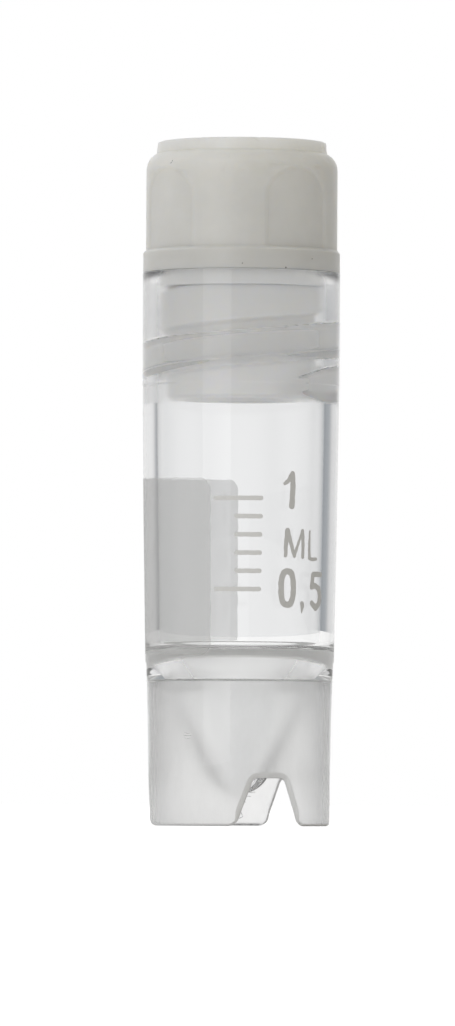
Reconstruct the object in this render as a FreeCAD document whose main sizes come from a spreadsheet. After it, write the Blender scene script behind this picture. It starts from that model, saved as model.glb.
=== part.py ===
import FreeCAD, Part
import os
import Sketcher

# Self-standing 1.2 ml cryogenic vial with an internal screw thread, in three pieces:
#   tube       clear tube with a conical floor, hidden in a round skirt with three rack notches
#   cap        screw cap: a gripping head, a collar that lands on the rim and a hollow threaded plug
#   seal_ring  silicone ring on the neck of the plug, under the collar
# Millimetres, +Z up the tube's axis, -Y at the front. The origin is on the axis, in the plane the
# skirt stands on. Directions round the axis are azimuths: 0 at the front, growing towards +X.

doc = FreeCAD.newDocument("cryovial")

SIZES = {
    # tube, outside
    "foot_radius": 5.66,
    "foot_round": 0.2,
    "parting_height": 10.26,      # lower mould parting line, where the wall steps out
    "parting_radius": 5.87,
    "parting_step": 0.065,
    "ring_line_height": 27.8,     # faint upper mould line
    "ring_line_radius": 6.195,
    "ring_line_step": 0.015,
    "rim_height": 34.9,
    "rim_radius": 6.25,
    "rim_round": 0.05,
    # tube, bore and the floor of the chamber: a shallow shelf, then a cone
    "mouth_radius": 5.36,
    "mouth_chamfer": 0.04,
    "bore_bend_height": 24.0,     # the bore narrows faster below this height
    "bore_bend_radius": 5.28,
    "bore_floor_radius": 5.08,
    "floor_height": 11.2,         # outer edge of the shelf
    "floor_round": 0.55,
    "neck_radius": 3.75,          # where the shelf turns down into the cone
    "neck_height": 10.92,
    "neck_round": 0.15,
    "chamber_angle": 21.2,        # half angle of the cone inside, degrees
    "chamber_tip_height": 2.75,
    "chamber_tip_round": 0.85,
    # tube, outside of the cone
    "cone_angle": 25.1,           # half angle, degrees
    "tip_height": 2.0,
    "tip_round": 2.07,
    # tube, skirt round the cone
    "gap_height": 9.25,           # top of the ring-shaped gap between cone and skirt
    "gap_round": 0.17,
    "skirt_radius": 5.34,         # inside of the skirt
    "notch_count": 3,
    "notch_azimuth": 20.0,
    "notch_height": 3.1,
    "notch_half_top": 1.13,
    "notch_half_foot": 2.2,
    "notch_corner": 0.45,
    "notch_start": 3.0,           # the notch is cut outwards from this distance, clear of the cone
    "notch_depth": 4.0,
    # thread, shared by tube and cap
    "thread_lead": 2.8,
    "thread_root_bury": 0.15,     # how far each ridge's root lies inside its wall
    # thread ridge in the bore
    "bore_ridge_start": 24.0,     # azimuth where the ridge rises out of the bore
    "bore_ridge_end": 504.0,
    "bore_ridge_taper": 50.0,
    "bore_ridge_height": 27.4,    # middle of the ridge, carried back to azimuth 0
    "bore_ridge_root": 5.31,
    "bore_ridge_crest": 4.8,
    "bore_ridge_width": 1.1,      # across the crest
    "bore_ridge_flank": 0.35,     # how much further each flank reaches at the root
    # thread ridge on the plug
    "plug_ridge_start": -190.0,
    "plug_ridge_end": 470.0,
    "plug_ridge_taper": 35.0,
    "plug_ridge_height": 28.88,   # lower edge of the crest, carried back to azimuth 0
    "plug_ridge_crest": 5.05,
    "plug_ridge_width": 0.53,     # across the crest where it meets the ridge in the bore
    "plug_ridge_flank": 0.2,
    "plug_ridge_swell": 110.0,    # azimuth where the ridge starts to grow wider
    "plug_ridge_full": 280.0,     # azimuth where it has its full width
    "plug_ridge_full_width": 1.3,
    # cap, collar and head
    "collar_gap": 0.05,           # rest gap between the rim and the collar
    "collar_radius": 6.22,
    "collar_round": 0.12,
    "collar_height": 1.25,
    "collar_slope": 0.2,
    "head_radius": 6.03,
    "shoulder_height": 41.4,
    "shoulder_round": 1.13,
    "lip_foot_height": 42.43,
    "lip_foot_radius": 5.44,
    "lip_radius": 5.33,
    "lip_round": 0.12,
    "cap_height": 43.2,
    "recess_radius": 4.75,
    "recess_depth": 1.0,
    # cap, grip panels sunk into the head
    "panel_count": 4,
    "panel_azimuth": 37.0,
    "panel_half_width": 2.28,
    "panel_spring_height": 39.87,
    "panel_height": 41.38,
    "panel_arch": 2.48,
    "panel_floor_radius": 5.87,
    "panel_reach": 7.0,
    # cap, hollow plug
    "plug_bottom": 26.9,
    "plug_radius": 4.67,
    "plug_chamfer": 0.18,
    "hollow_foot_radius": 3.65,
    "hollow_top_radius": 3.35,
    "hollow_height": 40.9,
    "hollow_round": 0.4,
    # seal ring
    "ring_gap": 0.02,             # rest gap under the collar
    "ring_height": 0.98,
    "ring_inner_radius": 4.7,
    "ring_outer_radius": 5.18,
    "ring_round": 0.15,
}


def make_sheet():
    """Write the driving dimensions into a spreadsheet, one alias a row."""
    sheet = doc.addObject("Spreadsheet::Sheet", "Sizes")
    for row, (alias, value) in enumerate(SIZES.items(), start=1):
        sheet.set("A%d" % row, alias)
        sheet.set("B%d" % row, str(value))
        sheet.setAlias("B%d" % row, alias)
    doc.recompute()
    return sheet


sheet = make_sheet()


def size(expression):
    """Value of an expression in the sheet's terms, such as 'Sizes.rim_height'."""
    return float(sheet.evalExpression(expression))


def origin_feature(body, role):
    """The plane or axis of the body's own origin that has this role."""
    return next(item for item in body.Origin.OriginFeatures if item.Role == role)


def new_sketch(body, name, role, lift=None):
    """Sketch on one of the body's origin planes, lifted off it along the plane's normal if asked."""
    sketch = body.newObject("Sketcher::SketchObject", name)
    sketch.AttachmentSupport = [(origin_feature(body, role), "")]
    sketch.MapMode = "FlatFace"
    if lift:
        sketch.setExpression(".AttachmentOffset.Base.z", lift)
    return sketch


def place_point(sketch, geometry, end, label, across, up):
    """Tie one end of a curve to its two coordinates, each an expression or "0"."""
    for kind, axis, text in (("DistanceX", -2, across), ("DistanceY", -1, up)):
        if text == "0":
            sketch.addConstraint(Sketcher.Constraint("PointOnObject", geometry, end, axis))
            continue
        value = size(text)
        index = sketch.addConstraint(Sketcher.Constraint(kind, -1, 1, geometry, end, value))
        constraint_name = "%s_%s" % (label, "across" if kind == "DistanceX" else "up")
        sketch.renameConstraint(index, constraint_name)
        sketch.setExpression("Constraints." + constraint_name, text)


def arc_centre(start, end, radius, turn):
    """Centre of the shorter arc from start to end; turn is 1 anticlockwise and -1 clockwise."""
    chord = end - start
    middle = (start + end) * 0.5
    reach = (radius ** 2 - (chord.Length / 2) ** 2) ** 0.5
    left = FreeCAD.Vector(-chord.y, chord.x, 0).normalize()
    return middle + left * reach * turn


def draw_outline(sketch, corners):
    """Closed outline through the corners, each (label, across, up) and, where an arc leaves the
    corner, also (radius, turn). Every coordinate and radius is bound to the sheet."""
    points = []
    for corner in corners:
        points.append(FreeCAD.Vector(*[size(text) if text != "0" else 0.0 for text in corner[1:3]], 0))
    count = len(corners)
    ends = []
    for index, corner in enumerate(corners):
        start = points[index]
        end = points[(index + 1) % count]
        if len(corner) == 3:
            geometry = sketch.addGeometry(Part.LineSegment(start, end))
            ends.append((geometry, 1, 2))
            continue
        radius = size(corner[3])
        turn = corner[4]
        centre = arc_centre(start, end, radius, turn)
        circle = Part.Circle(centre, FreeCAD.Vector(0, 0, 1), radius)
        first, last = (start, end) if turn > 0 else (end, start)
        arc = Part.ArcOfCircle(circle, circle.parameter(first), circle.parameter(last))
        geometry = sketch.addGeometry(arc)
        ends.append((geometry, 1, 2) if turn > 0 else (geometry, 2, 1))
        bound = sketch.addConstraint(Sketcher.Constraint("Radius", geometry, radius))
        sketch.renameConstraint(bound, corner[0] + "_radius")
        sketch.setExpression("Constraints.%s_radius" % corner[0], corner[3])
    for index, corner in enumerate(corners):
        geometry, start_end, _ = ends[index]
        previous, _, previous_end = ends[index - 1]
        sketch.addConstraint(Sketcher.Constraint("Coincident", previous, previous_end, geometry, start_end))
        place_point(sketch, geometry, start_end, corner[0], corner[1], corner[2])


def turned(body, kind, name, corners):
    """Revolution or Groove of an outline drawn in the XZ plane, all the way round the Z axis."""
    sketch = new_sketch(body, name + "_outline", "XZ_Plane")
    draw_outline(sketch, corners)
    feature = body.newObject("PartDesign::" + kind, name)
    feature.Profile = sketch
    feature.ReferenceAxis = (sketch, ["V_Axis"])
    feature.Angle = 360
    doc.recompute()
    return feature


def rims(feature, radius, height):
    """Names of the feature's circular edges with this radius at this height."""
    names = []
    for index, edge in enumerate(feature.Shape.Edges, start=1):
        if edge.Degenerated or not isinstance(edge.Curve, Part.Circle):
            continue
        if abs(edge.Curve.Radius - radius) < 0.001 and abs(edge.Curve.Center.z - height) < 0.001:
            names.append("Edge%d" % index)
    return names


def dress(body, kind, name, feature, edges, setting, text):
    """Fillet or Chamfer on some edges of a feature, its size bound to the sheet."""
    result = body.newObject("PartDesign::" + kind, name)
    result.Base = (feature, edges)
    result.setExpression(setting, text)
    doc.recompute()
    return result


def require_cut(before, after, name):
    """Stop if a cutting feature took nothing away."""
    if after.Shape.Volume > before.Shape.Volume - 0.01:
        raise RuntimeError(name + " cut nothing")


# ---------------------------------------------------------------------------------------------
# Tube
# ---------------------------------------------------------------------------------------------

def cone_touch(tip, rounding, angle):
    """Where a rounded tip on the axis runs over into the straight side of a cone, from the tip's
    height and radius and the cone's half angle."""
    across = "%s * cos(%s * 1 deg)" % (rounding, angle)
    up = "%s + %s * (1 - sin(%s * 1 deg))" % (tip, rounding, angle)
    return across, up


def make_tube_shell():
    """Turned outside, bore and underside, then the notches round the foot."""
    body = doc.addObject("PartDesign::Body", "tube_shell")
    outside = turned(body, "Revolution", "tube_outside", [
        ("foot_middle", "0", "0"),
        ("foot", "Sizes.foot_radius", "0"),
        ("parting_below", "Sizes.parting_radius", "Sizes.parting_height"),
        ("parting_above", "Sizes.parting_radius + Sizes.parting_step",
         "Sizes.parting_height + Sizes.parting_step"),
        ("line_below", "Sizes.ring_line_radius", "Sizes.ring_line_height"),
        ("line_above", "Sizes.ring_line_radius + Sizes.ring_line_step",
         "Sizes.ring_line_height + Sizes.ring_line_step"),
        ("rim", "Sizes.rim_radius", "Sizes.rim_height"),
        ("rim_middle", "0", "Sizes.rim_height"),
    ])
    foot_edge = rims(outside, size("Sizes.foot_radius"), 0)
    foot = dress(body, "Fillet", "foot_rounding", outside, foot_edge, "Radius", "Sizes.foot_round")
    rim_edge = rims(foot, size("Sizes.rim_radius"), size("Sizes.rim_height"))
    rim = dress(body, "Fillet", "rim_rounding", foot, rim_edge, "Radius", "Sizes.rim_round")

    touch = cone_touch("Sizes.chamber_tip_height", "Sizes.chamber_tip_round", "Sizes.chamber_angle")
    bore = turned(body, "Groove", "bore", [
        ("floor_tip", "0", "Sizes.chamber_tip_height", "Sizes.chamber_tip_round", 1),
        ("floor_touch", touch[0], touch[1]),
        ("neck", "Sizes.neck_radius", "Sizes.neck_height"),
        ("floor_edge", "Sizes.bore_floor_radius", "Sizes.floor_height"),
        ("bend", "Sizes.bore_bend_radius", "Sizes.bore_bend_height"),
        ("mouth", "Sizes.mouth_radius", "Sizes.rim_height"),
        ("mouth_middle", "0", "Sizes.rim_height"),
    ])
    require_cut(rim, bore, "bore")
    mouth_edge = rims(bore, size("Sizes.mouth_radius"), size("Sizes.rim_height"))
    mouth = dress(body, "Chamfer", "mouth_bevel", bore, mouth_edge, "Size", "Sizes.mouth_chamfer")
    floor_edge = rims(mouth, size("Sizes.bore_floor_radius"), size("Sizes.floor_height"))
    floor_bend = dress(body, "Fillet", "floor_rounding", mouth, floor_edge, "Radius", "Sizes.floor_round")
    neck_edge = rims(floor_bend, size("Sizes.neck_radius"), size("Sizes.neck_height"))
    neck = dress(body, "Fillet", "neck_rounding", floor_bend, neck_edge, "Radius", "Sizes.neck_round")

    touch = cone_touch("Sizes.tip_height", "Sizes.tip_round", "Sizes.cone_angle")
    gap_inner = "%s + (Sizes.gap_height - (%s)) * tan(Sizes.cone_angle * 1 deg)" % touch
    underside = turned(body, "Groove", "underside", [
        ("cone_tip", "0", "Sizes.tip_height", "Sizes.tip_round", 1),
        ("cone_touch", touch[0], touch[1]),
        ("gap_inner", gap_inner, "Sizes.gap_height"),
        ("gap_outer", "Sizes.skirt_radius", "Sizes.gap_height"),
        ("skirt_foot", "Sizes.skirt_radius", "0"),
        ("foot_middle", "0", "0"),
    ])
    require_cut(neck, underside, "underside")
    gap_edges = rims(underside, size(gap_inner), size("Sizes.gap_height"))
    gap_edges += rims(underside, size("Sizes.skirt_radius"), size("Sizes.gap_height"))
    gap = dress(body, "Fillet", "gap_rounding", underside, gap_edges, "Radius", "Sizes.gap_round")
    add_notches(body, gap)
    body.setExpression(".Placement.Rotation.Angle", "Sizes.notch_azimuth")
    return body


def add_notches(body, skirt):
    """Three trapezoid notches with rounded upper corners, cut outwards through the skirt."""
    sketch = new_sketch(body, "notch_outline", "XZ_Plane", lift="Sizes.notch_start")
    draw_outline(sketch, [
        ("foot_left", "-Sizes.notch_half_foot", "0"),
        ("foot_right", "Sizes.notch_half_foot", "0"),
        ("top_right", "Sizes.notch_half_top", "Sizes.notch_height"),
        ("top_left", "-Sizes.notch_half_top", "Sizes.notch_height"),
    ])
    notch = body.newObject("PartDesign::Pocket", "notch")
    notch.Profile = sketch
    notch.Reversed = True
    notch.setExpression("Length", "Sizes.notch_depth")
    doc.recompute()
    require_cut(skirt, notch, "notch")
    pattern = body.newObject("PartDesign::PolarPattern", "notches")
    pattern.Originals = [notch]
    pattern.Axis = (origin_feature(body, "Z_Axis"), [""])
    pattern.Angle = 360
    pattern.setExpression("Occurrences", "Sizes.notch_count")
    body.Tip = pattern
    doc.recompute()
    require_cut(notch, pattern, "notches")
    corners = []
    for index, edge in enumerate(pattern.Shape.Edges, start=1):
        heights = [vertex.Z for vertex in edge.Vertexes]
        radii = [(vertex.X ** 2 + vertex.Y ** 2) ** 0.5 for vertex in edge.Vertexes]
        level = all(abs(height - size("Sizes.notch_height")) < 0.001 for height in heights)
        if level and isinstance(edge.Curve, Part.Line) and max(radii) - min(radii) > 0.1:
            corners.append("Edge%d" % index)
    dress(body, "Fillet", "notch_rounding", pattern, corners, "Radius", "Sizes.notch_corner")


# ---------------------------------------------------------------------------------------------
# Thread ridges
# ---------------------------------------------------------------------------------------------

SECTION_STEP = 10.0     # degrees between the sections that a ridge is drawn through


def ease(value):
    """Smooth rise from 0 to 1."""
    value = min(max(value, 0.0), 1.0)
    return value * value * (3 - 2 * value)


def ridge_point(azimuth, radius, height):
    """Point at an azimuth, a radius and a height."""
    turn = FreeCAD.Rotation(FreeCAD.Vector(0, 0, 1), azimuth)
    return turn.multVec(FreeCAD.Vector(0, -radius, 0)) + FreeCAD.Vector(0, 0, height)


def ridge_solid(start, end, section):
    """Helical ridge whose four long edges pass through section(azimuth), which gives four
    (radius, height) corners in order round the section."""
    count = round((end - start) / SECTION_STEP)
    azimuths = [start + (end - start) * step / count for step in range(count + 1)]
    rails = []
    for corner in range(4):
        curve = Part.BSplineCurve()
        curve.interpolate([ridge_point(azimuth, *section(azimuth)[corner]) for azimuth in azimuths])
        rails.append(curve.toShape())
    faces = []
    forward = 1     # both rails run the same way
    for corner in range(4):
        faces.append(Part.makeRuledSurface(rails[corner], rails[(corner + 1) % 4], forward))
    for azimuth in (start, end):
        outline = [ridge_point(azimuth, *point) for point in section(azimuth)]
        faces.append(Part.Face(Part.makePolygon(outline + outline[:1])))
    shell = Part.Shell(faces)
    shell.sewShape()
    solid = Part.Solid(Part.Shell(shell.Faces))
    if solid.Volume < 0:
        solid.reverse()
    return solid


def end_taper(azimuth, start, end, taper):
    """0 at either end of a ridge, 1 once the azimuth is a taper away from both."""
    return ease(min(azimuth - start, end - azimuth) / taper)


def bore_ridge():
    """Ridge on the inside of the tube."""
    start = size("Sizes.bore_ridge_start")
    end = size("Sizes.bore_ridge_end")
    root = size("Sizes.bore_ridge_root + Sizes.thread_root_bury")
    crest = size("Sizes.bore_ridge_crest")
    sunk = size("Sizes.bore_ridge_root + Sizes.thread_root_bury / 2")
    half = size("Sizes.bore_ridge_width") / 2
    flank = size("Sizes.bore_ridge_flank")

    def section(azimuth):
        rise = end_taper(azimuth, start, end, size("Sizes.bore_ridge_taper"))
        middle = size("Sizes.bore_ridge_height") + size("Sizes.thread_lead") * azimuth / 360
        top = sunk + (crest - sunk) * rise
        narrow = half * (0.4 + 0.6 * rise)
        wide = narrow + flank * (0.4 + 0.6 * rise)
        below = [(root, middle - wide), (top, middle - narrow)]
        above = [(top, middle + narrow), (root, middle + wide)]
        return below + above

    return ridge_solid(start, end, section)


def plug_ridge():
    """Ridge on the outside of the plug: its lower edge is the true helix, and it grows wider
    towards the collar, above the ridge in the bore."""
    start = size("Sizes.plug_ridge_start")
    end = size("Sizes.plug_ridge_end")
    root = size("Sizes.plug_radius - Sizes.thread_root_bury")
    crest = size("Sizes.plug_ridge_crest")
    sunk = size("Sizes.plug_radius - Sizes.thread_root_bury / 2")
    slim = size("Sizes.plug_ridge_width")
    full = size("Sizes.plug_ridge_full_width")
    swell = size("Sizes.plug_ridge_swell")
    swell_end = size("Sizes.plug_ridge_full")
    flank = size("Sizes.plug_ridge_flank")

    def section(azimuth):
        rise = end_taper(azimuth, start, end, size("Sizes.plug_ridge_taper"))
        lower = size("Sizes.plug_ridge_height") + size("Sizes.thread_lead") * azimuth / 360
        upper = lower + slim + (full - slim) * ease((azimuth - swell) / (swell_end - swell))
        top = sunk + (crest - sunk) * rise
        return [(root, lower - flank), (top, lower), (top, upper), (root, upper + flank)]

    return ridge_solid(start, end, section)


def ridge_feature(name, shape):
    """Document object that holds a ridge."""
    feature = doc.addObject("Part::Feature", name)
    feature.Shape = shape
    return feature


def join(label, base, tool):
    """Fuse two objects into one sub-part and name it."""
    joined = doc.addObject("Part::Fuse", label)
    joined.Base = base
    joined.Tool = tool
    joined.Label = label
    doc.recompute()
    return joined


# ---------------------------------------------------------------------------------------------
# Cap
# ---------------------------------------------------------------------------------------------

COLLAR_BOTTOM = "Sizes.rim_height + Sizes.collar_gap"
COLLAR_TOP = COLLAR_BOTTOM + " + Sizes.collar_height"


def make_cap_shell():
    """Turned cap: hollow plug, collar, head with a round shoulder, and a lip round a shallow recess."""
    body = doc.addObject("PartDesign::Body", "cap_shell")
    recess_floor = "Sizes.cap_height - Sizes.recess_depth"
    outside = turned(body, "Revolution", "cap_outside", [
        ("plug_middle", "0", "Sizes.plug_bottom"),
        ("plug_end", "Sizes.plug_radius", "Sizes.plug_bottom"),
        ("neck", "Sizes.plug_radius", COLLAR_BOTTOM),
        ("collar_low", "Sizes.collar_radius", COLLAR_BOTTOM),
        ("collar_high", "Sizes.collar_radius", COLLAR_TOP),
        ("head_foot", "Sizes.head_radius", COLLAR_TOP + " + Sizes.collar_slope"),
        ("shoulder", "Sizes.head_radius", "Sizes.shoulder_height", "Sizes.shoulder_round", 1),
        ("lip_foot", "Sizes.lip_foot_radius", "Sizes.lip_foot_height"),
        ("lip_low", "Sizes.lip_radius", "Sizes.lip_foot_height"),
        ("lip_high", "Sizes.lip_radius", "Sizes.cap_height"),
        ("lip_inner", "Sizes.recess_radius", "Sizes.cap_height"),
        ("recess_edge", "Sizes.recess_radius", recess_floor),
        ("recess_middle", "0", recess_floor),
    ])
    hollow = turned(body, "Groove", "plug_hollow", [
        ("hollow_middle", "0", "Sizes.plug_bottom"),
        ("hollow_foot", "Sizes.hollow_foot_radius", "Sizes.plug_bottom"),
        ("hollow_edge", "Sizes.hollow_top_radius", "Sizes.hollow_height"),
        ("hollow_roof", "0", "Sizes.hollow_height"),
    ])
    require_cut(outside, hollow, "plug_hollow")
    roof = rims(hollow, size("Sizes.hollow_top_radius"), size("Sizes.hollow_height"))
    roof = dress(body, "Fillet", "roof_rounding", hollow, roof, "Radius", "Sizes.hollow_round")
    lip = rims(roof, size("Sizes.lip_radius"), size("Sizes.cap_height"))
    lip += rims(roof, size("Sizes.recess_radius"), size("Sizes.cap_height"))
    lip = dress(body, "Fillet", "lip_rounding", roof, lip, "Radius", "Sizes.lip_round")
    collar = rims(lip, size("Sizes.collar_radius"), size(COLLAR_BOTTOM))
    collar = dress(body, "Fillet", "collar_rounding", lip, collar, "Radius", "Sizes.collar_round")
    end = rims(collar, size("Sizes.plug_radius"), size("Sizes.plug_bottom"))
    dress(body, "Chamfer", "plug_bevel", collar, end, "Size", "Sizes.plug_chamfer")
    return body


def make_panel_cutter():
    """Four arched pieces that follow the head's curve, to be taken out of it as grip panels."""
    body = doc.addObject("PartDesign::Body", "panel_cutter")
    body.AllowCompound = True
    sketch = new_sketch(body, "panel_outline", "XZ_Plane")
    bottom = COLLAR_TOP + " + Sizes.collar_slope"
    draw_outline(sketch, [
        ("foot_left", "-Sizes.panel_half_width", bottom),
        ("foot_right", "Sizes.panel_half_width", bottom),
        ("spring_right", "Sizes.panel_half_width", "Sizes.panel_spring_height", "Sizes.panel_arch", 1),
        ("crown", "0", "Sizes.panel_height", "Sizes.panel_arch", 1),
        ("spring_left", "-Sizes.panel_half_width", "Sizes.panel_spring_height"),
    ])
    panel = body.newObject("PartDesign::Pad", "panel")
    panel.Profile = sketch
    panel.setExpression("Length", "Sizes.panel_reach")
    pattern = body.newObject("PartDesign::PolarPattern", "panels")
    pattern.Originals = [panel]
    pattern.Axis = (origin_feature(body, "Z_Axis"), [""])
    pattern.Angle = 360
    pattern.setExpression("Occurrences", "Sizes.panel_count")
    body.Tip = pattern
    doc.recompute()
    core = new_sketch(body, "panel_core", "XY_Plane")
    circle = core.addGeometry(Part.Circle(FreeCAD.Vector(), FreeCAD.Vector(0, 0, 1), 1.0))
    core.addConstraint(Sketcher.Constraint("Coincident", circle, 3, -1, 1))
    radius = core.addConstraint(Sketcher.Constraint("Radius", circle, 1.0))
    core.renameConstraint(radius, "floor")
    core.setExpression("Constraints.floor", "Sizes.panel_floor_radius")
    floor = body.newObject("PartDesign::Pocket", "panel_floor")
    floor.Profile = core
    floor.Type = "ThroughAll"
    floor.Reversed = True
    doc.recompute()
    require_cut(pattern, floor, "panel_floor")
    body.setExpression(".Placement.Rotation.Angle", "Sizes.panel_azimuth")
    return body


def make_cap():
    """Turned shell, less the grip panels, with the thread ridge on its plug."""
    grip = doc.addObject("Part::Cut", "cap_grip")
    grip.Base = make_cap_shell()
    grip.Tool = make_panel_cutter()
    doc.recompute()
    require_cut(grip.Base, grip, "grip panels")
    return join("cap", grip, ridge_feature("plug_ridge", plug_ridge()))


# ---------------------------------------------------------------------------------------------
# Seal ring
# ---------------------------------------------------------------------------------------------

def make_seal_ring():
    """Flat silicone ring with rounded edges on the neck of the plug."""
    body = doc.addObject("PartDesign::Body", "seal_ring")
    top = COLLAR_BOTTOM + " - Sizes.ring_gap"
    bottom = top + " - Sizes.ring_height"
    ring = turned(body, "Revolution", "ring", [
        ("inner_low", "Sizes.ring_inner_radius", bottom),
        ("outer_low", "Sizes.ring_outer_radius", bottom),
        ("outer_high", "Sizes.ring_outer_radius", top),
        ("inner_high", "Sizes.ring_inner_radius", top),
    ])
    edges = []
    for radius in ("Sizes.ring_inner_radius", "Sizes.ring_outer_radius"):
        for height in (bottom, top):
            edges += rims(ring, size(radius), size(height))
    dress(body, "Fillet", "ring_rounding", ring, edges, "Radius", "Sizes.ring_round")
    return body


# ---------------------------------------------------------------------------------------------
# Build, check and write
# ---------------------------------------------------------------------------------------------

tube = join("tube", make_tube_shell(), ridge_feature("bore_ridge", bore_ridge()))
cap = make_cap()
seal_ring = make_seal_ring()
doc.recompute()

for item in doc.Objects:
    if "Invalid" in item.State or "Error" in item.State:
        raise RuntimeError("%s failed: %s" % (item.Name, item.State))

sub_parts = [tube, cap, seal_ring]
for item in sub_parts:
    shape = item.Shape
    if shape.isNull() or not shape.isValid() or len(shape.Solids) != 1:
        raise RuntimeError(item.Label + " is not one valid solid")

os.makedirs("parts", exist_ok=True)
for item in sub_parts:
    item.Shape.exportStep("parts/%s.step" % item.Label)
    box = item.Shape.BoundBox
    print("%-10s %8.2f mm3   z %.2f to %.2f" % (item.Label, item.Shape.Volume, box.ZMin, box.ZMax))
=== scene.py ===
import math

import bpy
import numpy as np
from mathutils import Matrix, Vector


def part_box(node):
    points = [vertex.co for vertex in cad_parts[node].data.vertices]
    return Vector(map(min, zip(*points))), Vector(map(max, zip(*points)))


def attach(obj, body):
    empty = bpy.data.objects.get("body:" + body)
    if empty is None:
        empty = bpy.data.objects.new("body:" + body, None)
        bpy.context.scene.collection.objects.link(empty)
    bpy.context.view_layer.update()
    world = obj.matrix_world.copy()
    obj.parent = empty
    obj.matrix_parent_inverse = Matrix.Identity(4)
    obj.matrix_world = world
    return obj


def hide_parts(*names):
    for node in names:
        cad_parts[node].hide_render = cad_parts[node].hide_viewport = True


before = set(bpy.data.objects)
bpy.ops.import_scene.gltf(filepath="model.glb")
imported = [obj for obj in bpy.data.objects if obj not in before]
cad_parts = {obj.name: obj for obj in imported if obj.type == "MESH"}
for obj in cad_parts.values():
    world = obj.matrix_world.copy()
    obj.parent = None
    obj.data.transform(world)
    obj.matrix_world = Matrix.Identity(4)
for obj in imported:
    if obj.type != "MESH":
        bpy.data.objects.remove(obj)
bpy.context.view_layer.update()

# Cryogenic vial: clear tube, white cap and silicone seal ring.
# Profiles are (radius, height) in millimetres round the tube's axis, with height 0 in the plane the
# tube stands on. Azimuths are degrees round the axis: 0 at the front (-Y), growing towards +X.

MM = 0.001
TUBE_LOW, TUBE_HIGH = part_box("tube")
CAP_LOW, CAP_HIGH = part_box("cap")
RING_LOW, RING_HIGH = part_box("seal_ring")
AXIS = Vector(((CAP_LOW.x + CAP_HIGH.x) / 2, (CAP_LOW.y + CAP_HIGH.y) / 2, TUBE_LOW.z))

RIM = (TUBE_HIGH.z - TUBE_LOW.z) / MM
COLLAR_GAP = 0.015
COLLAR_FOOT = RIM + COLLAR_GAP
CAP_TOP = (CAP_HIGH.z - TUBE_LOW.z) / MM
THREAD_LEAD = 2.8


# ---- Shapes --------------------------------------------------------------------------

def ease(value):
    """Smooth rise from 0 to 1."""
    value = np.clip(value, 0.0, 1.0)
    return value * value * (3 - 2 * value)


def rounded(corners, steps=7):
    """Points of a line through the corners. A corner with a third value is rounded to that radius."""
    points = []
    for index, corner in enumerate(corners):
        here = np.array(corner[:2], float)
        if len(corner) == 2:
            points.append(here)
            continue
        back = np.array(corners[index - 1][:2]) - here
        ahead = np.array(corners[index + 1][:2]) - here
        back /= np.linalg.norm(back)
        ahead /= np.linalg.norm(ahead)
        half = math.acos(np.clip(back @ ahead, -1, 1)) / 2
        reach = corner[2] / math.tan(half)
        centre = here + (back + ahead) / np.linalg.norm(back + ahead) * corner[2] / math.sin(half)
        first = here + back * reach - centre
        last = here + ahead * reach - centre
        sweep = math.pi - 2 * half
        for share in np.arange(steps + 1) / steps:
            along = math.sin((1 - share) * sweep) * first + math.sin(share * sweep) * last
            points.append(centre + along / math.sin(sweep))
    return np.array(points)


def divided(points, step, low=-1e9, high=1e9):
    """The same line with no gap longer than step where it lies between the two heights."""
    result = [points[0]]
    for start, end in zip(points[:-1], points[1:]):
        count = 1
        if min(start[1], end[1]) < high and max(start[1], end[1]) > low:
            count = max(1, math.ceil(np.linalg.norm(end - start) / step))
        for index in range(1, count + 1):
            result.append(start + (end - start) * index / count)
    return np.array(result)


def arc(start, end, radius, steps=24):
    """Points on the shorter arc from start to end that turns left."""
    start, end = np.array(start), np.array(end)
    chord = end - start
    length = np.linalg.norm(chord)
    left = np.array([-chord[1], chord[0]]) / length
    centre = (start + end) / 2 + left * math.sqrt(radius ** 2 - (length / 2) ** 2)
    first = math.atan2(*(start - centre)[::-1])
    last = math.atan2(*(end - centre)[::-1])
    angles = first + (last - first) * np.arange(steps + 1) / steps
    return centre + radius * np.stack([np.cos(angles), np.sin(angles)], axis=1)


def tip_arc(tip, radius, half_angle, steps=10):
    """Round tip on the axis, from just off the axis to where it runs over into a cone's side."""
    angles = np.radians(np.linspace(0, 90 - half_angle, steps + 1)[1:])
    return np.stack([radius * np.sin(angles), tip + radius * (1 - np.cos(angles))], axis=1)


def place(azimuth, radius, height):
    """Positions in metres from azimuths in degrees and radii and heights in millimetres."""
    angle = np.radians(azimuth)
    return np.stack([
        AXIS.x + MM * radius * np.sin(angle),
        AXIS.y - MM * radius * np.cos(angle),
        AXIS.z + MM * height + 0 * angle,
    ], axis=-1)


def new_piece(name, vertices, faces, materials, indices=None, smooth=True):
    """Mesh object with its place in its mesh."""
    mesh = bpy.data.meshes.new(name)
    mesh.from_pydata(np.asarray(vertices).tolist(), [], [list(face) for face in faces])
    for item in materials:
        mesh.materials.append(item)
    if indices is not None:
        mesh.polygons.foreach_set("material_index", np.asarray(indices, np.int32))
    mesh.polygons.foreach_set("use_smooth", np.full(len(mesh.polygons), smooth))
    mesh.validate()
    mesh.update()
    obj = bpy.data.objects.new(name, mesh)
    bpy.context.scene.collection.objects.link(obj)
    return obj


def grid_faces(rows, columns, first=0):
    """Quads between rows of a closed ring of columns."""
    row, column = np.meshgrid(np.arange(rows - 1), np.arange(columns), indexing="ij")
    after = (column + 1) % columns
    here, beyond = row * columns, (row + 1) * columns
    faces = [here + column, here + after, beyond + after, beyond + column]
    return first + np.stack(faces, axis=-1).reshape(-1, 4)


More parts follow.
